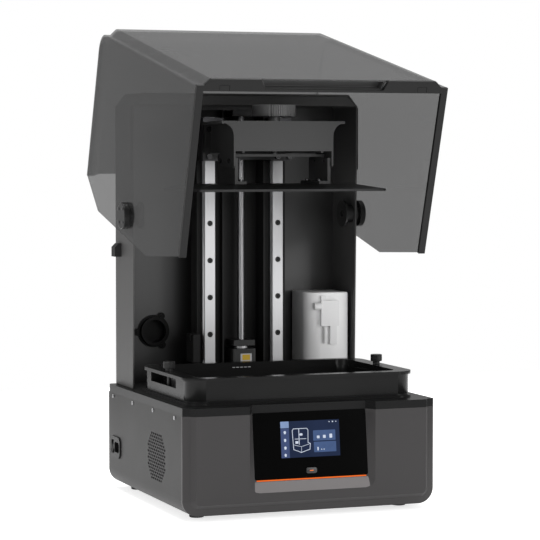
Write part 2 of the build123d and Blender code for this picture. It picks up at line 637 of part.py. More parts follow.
def make_cover_roof():
    w = COVER_HALF_WIDTH
    t = COVER_SHEET
    flat = w - STRIP
    top = flat - TRAY_SLOPE
    right = [(w, -t), (w, 0), (flat, 0), (top, RAISED)]
    under = [(-top + 1.5, RAISED - t), (-flat + 1.5, -t)]
    section = outline(*right, *[(-x, v) for x, v in reversed(right)], *reversed(under),
                      *[(-x, v) for x, v in under])
    start = along(RIM_FRONT, ROOF_DIR, ROOF_REACH)
    path = FilletPolyline((0, *start), (0, *TOP_CORNER), (0, *TOP_END), radius=TOP_CORNER_R)
    plane = Plane(origin=(0, *start), x_dir=(1, 0, 0), z_dir=(0, -ROOF_DIR[0], -ROOF_DIR[1]))
    roof = sweep(plane * section, path=path)
    cut = rim_plane(COVER_RIM) * Pos(0, 0, -20) * Box(420, 80, 40)
    lift = RAISED - COVER_SHEET
    scoop = [under_roof(lift, -5), under_roof(lift, 24), under_roof(lift + 2.2, -5)]
    write("cover_roof", roof - cut - prism_x(scoop, 5 - HANDLE_HALF, HANDLE_HALF - 5))


def side_outline():
    """Side panel's outline under the roof sheet, behind the rim frame."""
    t = COVER_SHEET + 0.05
    roof_in = (ROOF_DIR[1] * t, -ROOF_DIR[0] * t)
    rear_in = (REAR_DIR[1] * t, -REAR_DIR[0] * t)
    front_point = along(RIM_FRONT, ROOF_DIR, ROOF_REACH)
    shift = t / abs(RIM_DIR[0] * ROOF_DIR[1] - RIM_DIR[1] * ROOF_DIR[0])
    a = along(front_point, RIM_DIR, shift)
    b = along(RIM_REAR, INWARD, COVER_RIM)
    start = (TOP_CORNER[0] + roof_in[0], TOP_CORNER[1] + roof_in[1])
    finish = (TOP_CORNER[0] + rear_in[0], TOP_CORNER[1] + rear_in[1])
    cross = ROOF_DIR[0] * REAR_DIR[1] - ROOF_DIR[1] * REAR_DIR[0]
    s = ((finish[0] - start[0]) * REAR_DIR[1] - (finish[1] - start[1]) * REAR_DIR[0]) / cross
    corner = along(start, ROOF_DIR, s)
    end = (TOP_END[0] + rear_in[0], TOP_END[1] + rear_in[1])
    return a, b, corner, end


def make_cover_sides():
    a, b, corner, end = side_outline()
    for side, name in ((-1, "cover_side_left"), (1, "cover_side_right")):
        x = COVER_HALF_WIDTH - COVER_SHEET if side > 0 else -COVER_HALF_WIDTH
        panel = prism_x([a, b, SIDE_LOW, SIDE_REAR, end, corner], x, x + COVER_SHEET)
        edges = panel.edges().filter_by(Axis.X)
        by_corner = [(corner, TOP_CORNER_R - COVER_SHEET), (SIDE_REAR, 14), (SIDE_LOW, 14)]
        for (y, z), r in by_corner:
            near = edges.sort_by_distance(Vector(x + COVER_SHEET / 2, y, z))[0]
            panel = fillet(near, r)
            edges = panel.edges().filter_by(Axis.X)
        panel = panel - rod_x(HINGE_PIN_R + 0.6, x - 1, x + COVER_SHEET + 1, HINGE_Y, HINGE_Z)
        for k in range(4):
            angle = math.radians(45 + 90 * k)
            y = HINGE_Y + 15 * math.cos(angle)
            z = HINGE_Z + 15 * math.sin(angle)
            panel = panel - rod_x(1.35, x - 1, x + COVER_SHEET + 1, y, z)
        write(name, panel)


def make_cover_rim():
    w = COVER_HALF_WIDTH
    flat = w - STRIP
    right = [(flat - TRAY_SLOPE, -RAISED), (flat, 0), (w, 0), (w, RIM_LENGTH), (w - 10.5, RIM_LENGTH),
             (w - 10.5, BAR_LOW)]
    frame = on_rim(mirrored_outline(right), 0, COVER_RIM)
    notch = outline((-HANDLE_HALF - 1.5, -RAISED - 1), (HANDLE_HALF + 1.5, -RAISED - 1),
                    (HANDLE_HALF - 6, 5.2), (6 - HANDLE_HALF, 5.2))
    frame = frame - on_rim(notch, -1, COVER_RIM + 1)
    for side in SIDES:
        frame = frame - on_rim(rounded(side * 154 - 7.5, side * 154 + 7.5, -0.4, BAR_LOW + 2, 0.8), -1, 2)
    write("cover_rim", frame)

    outer = mirrored_outline([(HANDLE_HALF, -RAISED), (HANDLE_HALF - 6, BAR_LOW - 0.6)])
    inner = mirrored_outline([(HANDLE_HALF - 2, -RAISED - 1), (HANDLE_HALF - 8, 5.2)])
    cup = on_rim(outer, COVER_RIM, COVER_RIM + 16) - on_rim(inner, COVER_RIM - 1, COVER_RIM + 14)
    low = RAISED - COVER_SHEET - 0.05
    above = [under_roof(low, -40), under_roof(low, 60), under_roof(low + 40, 60), under_roof(low + 40, -40)]
    write("cover_handle", cup - prism_x(above, -HANDLE_HALF - 5, HANDLE_HALF + 5))

    catches = []
    for side in SIDES:
        catches.append(on_rim(rounded(side * 154 - 7.2, side * 154 + 7.2, -0.1, BAR_LOW - 0.1, 0.6), 0.3, 2))
    write("cover_catches", *catches)


# ---------------------------------------------------------------- lift
COLUMN_TOP = 606.0
BLOCK_Z = (525.0, 593.5)
KNOB_Y = PLATFORM_Y
KNOB_R = 33.6
ARM_TOP = 586.2
ARM_FACE_LOW = 540.4
ARM_FRONT = -78.0
ARM_SHEET = 4.0
EAR_HALF_WIDTH = 81.0
EAR_LOW = 515.4
CARRIAGE_Y = (76.0, 84.0)
CARRIAGE_BOLT_Z = (532.0, 575.0)
EAR_SCREW_Y = (-59.0, -19.0)
EAR_SCREW_Z = 525.6
FOOT_SCREW_Y = (-60.0, -10.0)
YOKE_TOP = EAR_SCREW_Z + 10.4


def make_column():
    face = outline((-75, RAIL_REAR), (-36, RAIL_REAR), (-36, 102), (-33.6, 102), (-33.6, 137), (33.6, 137),
                   (33.6, 102), (36, 102), (36, RAIL_REAR), (75, RAIL_REAR), (75, 143), (-75, 143))
    column = prism_z(face, DECK_TOP, COLUMN_TOP)
    for side in SIDES:
        column = column - block(side * 40, side * 71, RAIL_REAR + 9, 139, DECK_TOP - 1, COLUMN_TOP + 1)
    for x in (-RAIL_X, RAIL_X):
        for k in range(RAIL_HOLES):
            column = column - rod_y(2.1, x, RAIL_REAR - 1, RAIL_REAR + 12, RAIL_HOLE_Z + RAIL_PITCH * k - 59)
    write("lift_column", column)

    half = RAIL_WIDTH / 2
    rails = []
    screws = []
    for x in (-RAIL_X, RAIL_X):
        section = mirrored_outline([(half - 0.8, RAIL_FRONT), (half, RAIL_FRONT + 0.8), (half, 104.6),
                                    (half - 1.6, 106.2), (half - 1.6, 108.4), (half, 110),
                                     (half, RAIL_REAR)])
        rail = prism_z(Pos(x, 0) * section, DECK_TOP + 4, BLOCK_Z[1] + 0.5)
        for k in range(RAIL_HOLES):
            z = RAIL_HOLE_Z + RAIL_PITCH * (k - 1)
            rail = rail - rod_y(4.6, x, RAIL_FRONT - 1, RAIL_FRONT + 6, z)
            rail = rail - rod_y(2.3, x, RAIL_FRONT + 5, RAIL_REAR + 1, z)
            screw = rod_y(4.2, x, RAIL_FRONT + 1, RAIL_FRONT + 6, z)
            screw = screw + rod_y(2.0, x, RAIL_FRONT + 6, RAIL_REAR + 8, z)
            hexagon = Pos(x, z) * RegularPolygon(2.2, 6)
            screws.append(screw - prism_y(hexagon, RAIL_FRONT, RAIL_FRONT + 3.5))
        rails.append(rail)
    write("guide_rails", *rails)
    write("rail_screws", *screws)


def make_drive():
    half = 19.5
    body = Pos(0, SCREW_Y) * RectangleRounded(2 * half, 2 * half, 4)
    motor = prism_z(body, 176, 224.6)
    motor = motor + block(-25, 25, SCREW_Y - 19, SCREW_Y + 20.8, 171, 176)
    motor = motor + block(-30, -25, SCREW_Y - 8, SCREW_Y + 8, DECK_TOP + 0.1, 176)
    motor = motor + block(25, 30, SCREW_Y - 8, SCREW_Y + 8, DECK_TOP + 0.1, 176)
    motor = motor - rod_z(3.2, 0, SCREW_Y, 200, 226)
    write("lift_motor", motor)

    coupler = rod_z(12, 0, SCREW_Y, 225, 228.6)
    write("shaft_coupler", coupler - rod_z(3.0, 0, SCREW_Y, 224, 227), rod_z(3.0, 0, SCREW_Y, 201, 227))

    low = block(-18, 18, 99, 136.8, 229.5, 238.5) - rod_z(SCREW_R + RUNNING_GAP, 0, SCREW_Y, 229, 239)
    high = block(-18, 18, 103, 136.8, 596, COLUMN_TOP) - rod_z(SCREW_R + RUNNING_GAP, 0, SCREW_Y, 590, 603)
    write("screw_bearings", low, high)

    write("lead_screw", rod_z(SCREW_R, 0, SCREW_Y, 228.6, 602.5))

    nut = block(-16, 16, CARRIAGE_Y[1], 124, 548, 556) + rod_z(11, 0, SCREW_Y, 556, 572)
    write("lead_nut", nut - rod_z(SCREW_R + RUNNING_GAP, 0, SCREW_Y, 547, 573))

    sensor = block(-87, -75, 98, 132, 205, 250)
    sensor = sensor - block(-88, -82, 106, 114, 238, 251)
    write("home_sensor", sensor)


def make_carriage():
    blocks = []
    half = RAIL_WIDTH / 2 + 0.3
    for x in (-RAIL_X, RAIL_X):
        carrier = block(x - 17, x + 17, CARRIAGE_Y[1], 112, *BLOCK_Z)
        carrier = carrier - block(x - half, x + half, RAIL_FRONT - 0.3, 113, BLOCK_Z[0] - 1, BLOCK_Z[1] + 1)
        blocks.append(carrier)
    write("guide_blocks", *blocks)

    plate = block(-78, 78, *CARRIAGE_Y, BLOCK_Z[0] + 2, ARM_TOP)
    bolts = []
    for x in (-RAIL_X - 10, -RAIL_X + 10, RAIL_X - 10, RAIL_X + 10):
        for z in CARRIAGE_BOLT_Z:
            plate = plate - rod_y(2.6, x, CARRIAGE_Y[0] - 1, CARRIAGE_Y[1] + 1, z)
            bolts.append(rod_y(4.2, x, CARRIAGE_Y[0] - 4, CARRIAGE_Y[0], z)
                         + rod_y(2.5, x, CARRIAGE_Y[0], CARRIAGE_Y[1], z))
    write("carriage_plate", plate)
    return bolts


def arm_front_face():
    """Front of the arm: straight sides that flare outward to the top in two quarter curves."""
    w = EAR_HALF_WIDTH
    flare = 19.0
    lip = ARM_TOP - 3.0
    right = [(w, ARM_FACE_LOW), (w, lip - flare)]
    right = right + [(w + flare * (1 - math.cos(a)), lip - flare + flare * math.sin(a))
                     for a in [math.radians(15 * k) for k in range(1, 7)]]
    right.append((w + flare, ARM_TOP))
    return mirrored_outline(right)


def make_arm():
    w = EAR_HALF_WIDTH
    t = ARM_SHEET
    arm = prism_y(arm_front_face(), ARM_FRONT, ARM_FRONT + t)
    top = outline((-w - 19, ARM_FRONT), (w + 19, ARM_FRONT), (w + 19, -20), (w, 10), (w, CARRIAGE_Y[0]),
                  (-w, CARRIAGE_Y[0]), (-w, 10), (-w - 19, -20))
    arm = arm + prism_z(top, ARM_TOP - t, ARM_TOP)
    for side in SIDES:
        ear = prism_x([(ARM_FRONT, EAR_LOW + 3), (ARM_FRONT + 3, EAR_LOW),
                       (-16, EAR_LOW), (-13, EAR_LOW + 3),
                       (-13, 556), (-10, 570), (-2, ARM_TOP - 1), (ARM_FRONT, ARM_TOP - 1)],
                      *sorted((side * (w - t + 1), side * w)))
        web = block(side * 62, side * 66, ARM_FRONT + t, CARRIAGE_Y[0], YOKE_TOP + 2, ARM_TOP - t)
        arm = arm + ear + web
        for y in EAR_SCREW_Y:
            arm = arm - rod_x(2.1, side * (w - 5), side * (w + 1), y, EAR_SCREW_Z)
    arm = arm + block(-75, 75, CARRIAGE_Y[0] - 4, CARRIAGE_Y[0], 538, ARM_TOP - t)
    for x in (-RAIL_X - 10, -RAIL_X + 10, RAIL_X - 10, RAIL_X + 10):
        for z in CARRIAGE_BOLT_Z:
            arm = arm - rod_y(5.5, x, CARRIAGE_Y[0] - 6, CARRIAGE_Y[0] + 1, z)
    arm = arm - rod_z(5.3, 0, KNOB_Y, ARM_TOP - t - 1, ARM_TOP + 1)
    write("arm_bracket", arm)


def make_clamp_knob():
    bottom = ARM_TOP + 7.2
    top = bottom + 18.0
    knob = rod_z(KNOB_R, 0, KNOB_Y, bottom, top)
    knob = fillet(knob.edges().filter_by(GeomType.CIRCLE), 1.5)
    grooves = []
    for middle in (98, 278):
        for k in range(-5, 6):
            a = math.radians(middle + 6.2 * k)
            x = KNOB_R * math.cos(a)
            y = KNOB_Y + KNOB_R * math.sin(a)
            grooves.append(rod_z(1.15, x, y, bottom - 1, top + 1))
        for k in (-6.2, 6.2):
            a = math.radians(middle + 6.2 * k)
            x = KNOB_R * math.cos(a)
            y = KNOB_Y + KNOB_R * math.sin(a)
            grooves.append(rod_z(2.2, x, y, bottom - 1, top + 1))
    for piece in grooves:
        knob = knob - piece
    knob = knob + rod_z(9, 0, KNOB_Y, ARM_TOP + 0.4, bottom)
    knob = knob + rod_z(5, 0, KNOB_Y, YOKE_TOP + 0.4, ARM_TOP + 0.4)
    write("clamp_knob", knob)


def make_platform(bolts):
    top = PLATFORM_BOTTOM + PLATFORM_HEIGHT
    edge = PLATFORM_BOTTOM + 3.6
    low_face = Pos(0, PLATFORM_Y, edge) * RectangleRounded(2 * PLATFORM_HALF_WIDTH, PLATFORM_DEPTH, 5)
    top_half = PLATFORM_HALF_WIDTH - 36
    high_face = Pos(0, PLATFORM_Y, top) * RectangleRounded(2 * top_half, PLATFORM_DEPTH - 72, 5)
    slab = extrude(low_face, amount=PLATFORM_BOTTOM - edge) + loft([low_face, high_face], ruled=True)
    screws = []
    for side in SIDES:
        for y in FOOT_SCREW_Y:
            slab = slab - rod_z(2.1, side * 64, y, top - 7, top + 1)
            head = rod_z(3.5, side * 64, y, top + 4.5, top + 7)
            screws.append(head + rod_z(2.0, side * 64, y, top - 6, top + 4.5))
        for y in EAR_SCREW_Y:
            screws.append(rod_x(3.5, side * EAR_HALF_WIDTH, side * (EAR_HALF_WIDTH + 2.4), y, EAR_SCREW_Z)
                          + rod_x(2.0, side * 73, side * EAR_HALF_WIDTH, y, EAR_SCREW_Z))
    write("build_platform", slab)
    write("lift_screws", *screws, *bolts)

    yoke = block(-77.9, 77.9, -50, 0, YOKE_TOP - 4, YOKE_TOP)
    for side in SIDES:
        wall = block(side * 72.9, side * 77.9, -74, 4, top, EAR_SCREW_Z + 4.5)
        neck = block(side * 72.9, side * 77.9, -50, 0, EAR_SCREW_Z, YOKE_TOP)
        foot = block(side * 59, side * 73, -74, 4, top, top + 4.5)
        yoke = yoke + wall + neck + foot
        for y in FOOT_SCREW_Y:
            yoke = yoke - rod_z(2.1, side * 64, y, top - 1, top + 6)
        for y in EAR_SCREW_Y:
            yoke = yoke - rod_x(2.1, side * 72.5, side * 79, y, EAR_SCREW_Z)
    write("platform_yoke", yoke)


# ---------------------------------------------------------------- resin vat
FILM_Z = VAT_BOTTOM + 0.6
CAVITY_HALF_WIDTH = 156.0
CAVITY_FRONT = -142.0
CAVITY_REAR = 58.0
VAT_RIM = 5.0
GRIP_Y = (-97.0, 25.0)


def make_vat():
    w = VAT_HALF_WIDTH
    body = prism_z(rounded(-w, w, VAT_FRONT, VAT_REAR, VAT_CORNER), VAT_BOTTOM, VAT_TOP - VAT_RIM)
    rim = rounded(-w - 3.5, w + 3.5, VAT_FRONT - 3.5, VAT_REAR + 3.5, VAT_CORNER + 3.5)
    rim = prism_z(rim, VAT_TOP - VAT_RIM, VAT_TOP)
    rim = rim - block(157, 170, VAT_FRONT - 4, VAT_FRONT - 1, VAT_TOP - VAT_RIM - 1, VAT_TOP - 1.2)
    body = body + rim
    cavity = rounded(-CAVITY_HALF_WIDTH, CAVITY_HALF_WIDTH, CAVITY_FRONT, CAVITY_REAR, 14)
    body = body - prism_z(cavity, VAT_BOTTOM - 1, VAT_TOP + 1)
    seat = rounded(-164, 164, CAVITY_FRONT - 8, CAVITY_REAR + 8, 16)
    body = body - prism_z(seat, VAT_BOTTOM - 1, FILM_Z + 4.5)
    for side in SIDES:
        pocket = block(side * (CAVITY_HALF_WIDTH + 6), side * (w + 6), *GRIP_Y, VAT_TOP - 20, VAT_TOP - 5.5)
        body = body - pocket
        body = body - rod_z(3.3, side * VAT_SCREW_X, VAT_SCREW_Y, VAT_BOTTOM - 1, VAT_TOP + 1)
    lip = rounded(-CAVITY_HALF_WIDTH - 3, CAVITY_HALF_WIDTH + 3, CAVITY_FRONT - 3, CAVITY_REAR + 3, 17)
    body = body - prism_z(lip, VAT_TOP - 9.5, VAT_TOP + 1)
    write("vat", body)

    ring = rounded(-163.8, 163.8, CAVITY_FRONT - 7.8, CAVITY_REAR + 7.8, 15.8)
    ring = ring - rounded(-CAVITY_HALF_WIDTH, CAVITY_HALF_WIDTH, CAVITY_FRONT, CAVITY_REAR, 14)
    write("film_frame", prism_z(ring, FILM_Z, FILM_Z + 4.4))

    sheet = rounded(-163.5, 163.5, CAVITY_FRONT - 7.5, CAVITY_REAR + 7.5, 15.5)
    write("release_film", prism_z(sheet, FILM_Z - 0.3, FILM_Z))

    for side, name in ((-1, "vat_screw_left"), (1, "vat_screw_right")):
        x = side * VAT_SCREW_X
        head = rod_z(9.0, x, VAT_SCREW_Y, VAT_TOP + 4.4, VAT_TOP + 15)
        head = chamfer(head.edges().filter_by(GeomType.CIRCLE), 0.8)
        for k in range(24):
            a = math.radians(15 * k)
            head = head - rod_z(0.55, x + 9.1 * math.cos(a), VAT_SCREW_Y + 9.1 * math.sin(a),
                                VAT_TOP + 3, VAT_TOP + 16)
        neck = rod_z(5.5, x, VAT_SCREW_Y, VAT_TOP + 0.3, VAT_TOP + 4.4)
        stem = rod_z(3.0, x, VAT_SCREW_Y, SHELL_TOP + 2, VAT_TOP + 0.3)
        write(name, head + neck + stem)


# ---------------------------------------------------------------- resin feed bottle
BOTTLE_X = (111.0, 181.0)
BOTTLE_Y = (104.0, 175.0)
BOTTLE_TOP = 311.6


def make_feed_bottle():
    x0, x1 = BOTTLE_X
    y0, y1 = BOTTLE_Y
    low = DECK_TOP + 0.3
    body = block(x0, x1, y0, y1, low, BOTTLE_TOP)
    corner = body.edges().filter_by(Axis.Z).sort_by_distance(Vector(x0, y0, (low + BOTTLE_TOP) / 2))[0]
    body = fillet(corner, 22)
    others = body.edges().filter_by(Axis.Z).sort_by_distance(Vector(x1, y1, (low + BOTTLE_TOP) / 2))[0]
    body = fillet(others, 6)
    body = chamfer(body.edges().group_by(Axis.Z)[-1], 1.2)
    core = block(x0 + 3, x1 - 3, y0 + 3, y1 - 3, low + 3, BOTTLE_TOP - 3)
    inner_corner = core.edges().filter_by(Axis.Z).sort_by_distance(Vector(x0, y0, 250))[0]
    core = fillet(inner_corner, 20)
    write("feed_bottle", body - core)

    front = y0
    pump = block(132, 163, front - 7, front, 257, 298.5)
    pump = fillet(pump.edges().filter_by(Axis.Y), 2.0)
    pump = pump + block(132.5, 141, front - 5, front, 298.5, 306)
    pump = pump + rod_x(5.6, 119, 132, front - 6, 290)
    pump = pump + block(148.5, 160, front - 5, front, 227, 257)
    pump = pump + rod_z(2.6, 139.5, front - 3, 229, 257)
    write("feed_pump", pump)


def main():
    os.makedirs("parts", exist_ok=True)
    make_base_shell()
    make_fascia()
    make_deck()
    make_rear_panel()
    make_feet()
    make_shell_screws()
    make_display()
    make_power_inlet()
    make_usb_socket()
    make_exposure_unit()
    make_electrics()
    make_fan()
    make_tower()
    make_hinge()
    make_cover_roof()
    make_cover_sides()
    make_cover_rim()
    make_column()
    make_drive()
    bolts = make_carriage()
    make_arm()
    make_clamp_knob()
    make_platform(bolts)
    make_vat()
    make_feed_bottle()


main()
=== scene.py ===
import json
import math

import bmesh
import bpy
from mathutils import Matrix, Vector


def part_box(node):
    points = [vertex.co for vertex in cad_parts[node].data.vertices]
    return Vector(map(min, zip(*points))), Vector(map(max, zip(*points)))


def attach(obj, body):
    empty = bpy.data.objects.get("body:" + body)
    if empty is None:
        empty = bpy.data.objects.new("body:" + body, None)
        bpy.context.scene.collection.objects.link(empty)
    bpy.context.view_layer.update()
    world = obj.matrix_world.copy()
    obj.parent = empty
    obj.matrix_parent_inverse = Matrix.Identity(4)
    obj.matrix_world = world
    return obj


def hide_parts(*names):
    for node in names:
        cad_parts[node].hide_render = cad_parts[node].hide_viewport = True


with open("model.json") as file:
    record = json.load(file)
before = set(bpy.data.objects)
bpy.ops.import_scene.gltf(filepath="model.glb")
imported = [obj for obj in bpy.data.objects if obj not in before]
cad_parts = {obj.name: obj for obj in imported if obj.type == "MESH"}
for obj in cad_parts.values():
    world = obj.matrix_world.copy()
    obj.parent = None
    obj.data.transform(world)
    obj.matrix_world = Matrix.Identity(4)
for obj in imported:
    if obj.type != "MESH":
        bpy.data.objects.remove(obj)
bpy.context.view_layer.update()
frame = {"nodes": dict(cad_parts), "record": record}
nodes = frame["nodes"]
scene = bpy.context.scene

# ---------------------------------------------------------------- placing
# Lengths below are millimetres in the drawing's own origin: x from the middle plane, y from the
# middle of the base shell, z from the table. SHIFT_Y turns them into the row frame.
SHIFT_Y = 187.5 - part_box("base_shell")[1].y * 1000


def at(x, y, z):
    return Vector((x, y - SHIFT_Y, z)) / 1000


# ---------------------------------------------------------------- materials
def new_material(name):
    m = bpy.data.materials.new(name)
    m.use_nodes = True
    m.node_tree.nodes.clear()
    return m, m.node_tree.nodes, m.node_tree.links


def surface(name, color, rough, metallic=0.0, spread=0.06, cloud=9.0, grain=2600.0, grain_bump=0.12,
            peel=420.0, peel_bump=0.0, rough_spread=0.08, stretch=(1, 1, 1), specular=0.5, alpha=1.0):
    """Solid surface with cloudy colour, fine grain and a bump made from noise in object space.

    `spread` is how far the colour strays, `cloud` and `grain` are the noise scales, `peel` is the
    scale of the orange-peel bump, and `stretch` lengthens the noise along an axis.
    """
    m, n, l = new_material(name)
    out = n.new("ShaderNodeOutputMaterial")
    bsdf = n.new("ShaderNodeBsdfPrincipled")
    l.new(bsdf.outputs["BSDF"], out.inputs["Surface"])
    bsdf.inputs["Metallic"].default_value = metallic
    bsdf.inputs["Specular IOR Level"].default_value = specular
    bsdf.inputs["Alpha"].default_value = alpha

    coord = n.new("ShaderNodeTexCoord")
    mapping = n.new("ShaderNodeMapping")
    mapping.inputs["Scale"].default_value = stretch
    l.new(coord.outputs["Object"], mapping.inputs["Vector"])

    broad = n.new("ShaderNodeTexNoise")
    broad.inputs["Scale"].default_value = cloud
    broad.inputs["Detail"].default_value = 3.0
    l.new(mapping.outputs["Vector"], broad.inputs["Vector"])
    fine = n.new("ShaderNodeTexNoise")
    fine.inputs["Scale"].default_value = grain
    fine.inputs["Detail"].default_value = 2.0
    l.new(mapping.outputs["Vector"], fine.inputs["Vector"])

    both = n.new("ShaderNodeMath")
    both.operation = "ADD"
    l.new(broad.outputs["Fac"], both.inputs[0])
    l.new(fine.outputs["Fac"], both.inputs[1])
    half = n.new("ShaderNodeMath")
    half.operation = "MULTIPLY"
    half.inputs[1].default_value = 0.5
    l.new(both.outputs["Value"], half.inputs[0])

    ramp = n.new("ShaderNodeValToRGB")
    low = [c * (1 - spread) for c in color]
    high = [min(1.0, c * (1 + spread)) for c in color]
    ramp.color_ramp.elements[0].position = 0.3
    ramp.color_ramp.elements[0].color = (*low, 1)
    ramp.color_ramp.elements[1].position = 0.7
    ramp.color_ramp.elements[1].color = (*high, 1)
    l.new(half.outputs["Value"], ramp.inputs["Fac"])
    l.new(ramp.outputs["Color"], bsdf.inputs["Base Color"])

    rough_map = n.new("ShaderNodeMapRange")
    rough_map.inputs["To Min"].default_value = max(0.02, rough - rough_spread)
    rough_map.inputs["To Max"].default_value = min(1.0, rough + rough_spread)
    l.new(half.outputs["Value"], rough_map.inputs["Value"])
    l.new(rough_map.outputs["Result"], bsdf.inputs["Roughness"])

    normal = None
    if peel_bump:
        peel_tex = n.new("ShaderNodeTexNoise")
        peel_tex.inputs["Scale"].default_value = peel
        peel_tex.inputs["Detail"].default_value = 1.0
        l.new(mapping.outputs["Vector"], peel_tex.inputs["Vector"])
        bump = n.new("ShaderNodeBump")
        bump.inputs["Strength"].default_value = peel_bump
        bump.inputs["Distance"].default_value = 0.0006
        l.new(peel_tex.outputs["Fac"], bump.inputs["Height"])
        normal = bump
    if grain_bump:
        bump = n.new("ShaderNodeBump")
        bump.inputs["Strength"].default_value = grain_bump
        bump.inputs["Distance"].default_value = 0.0002
        l.new(fine.outputs["Fac"], bump.inputs["Height"])
        if normal:
            l.new(normal.outputs["Normal"], bump.inputs["Normal"])
        normal = bump
    if normal:
        l.new(normal.outputs["Normal"], bsdf.inputs["Normal"])
    return m


def glow(name, color, strength, base=(0.02, 0.02, 0.02), rough=0.3, vary=0.08, scale=60.0):
    """Surface lit from behind, with a slight unevenness in its light."""
    m, n, l = new_material(name)
    out = n.new("ShaderNodeOutputMaterial")
    bsdf = n.new("ShaderNodeBsdfPrincipled")
    l.new(bsdf.outputs["BSDF"], out.inputs["Surface"])
    bsdf.inputs["Base Color"].default_value = (*base, 1)
    bsdf.inputs["Roughness"].default_value = rough
    bsdf.inputs["Specular IOR Level"].default_value = 0.03
    bsdf.inputs["Emission Strength"].default_value = strength
    coord = n.new("ShaderNodeTexCoord")
    noise = n.new("ShaderNodeTexNoise")
    noise.inputs["Scale"].default_value = scale
    noise.inputs["Detail"].default_value = 2.0
    l.new(coord.outputs["Object"], noise.inputs["Vector"])
    ramp = n.new("ShaderNodeValToRGB")
    ramp.color_ramp.elements[0].color = (*[c * (1 - vary) for c in color], 1)
    ramp.color_ramp.elements[1].color = (*[min(1.0, c * (1 + vary)) for c in color], 1)
    ramp.color_ramp.elements[0].position = 0.35
    ramp.color_ramp.elements[1].position = 0.65
    l.new(noise.outputs["Fac"], ramp.inputs["Fac"])
    l.new(ramp.outputs["Color"], bsdf.inputs["Emission Color"])
    return m


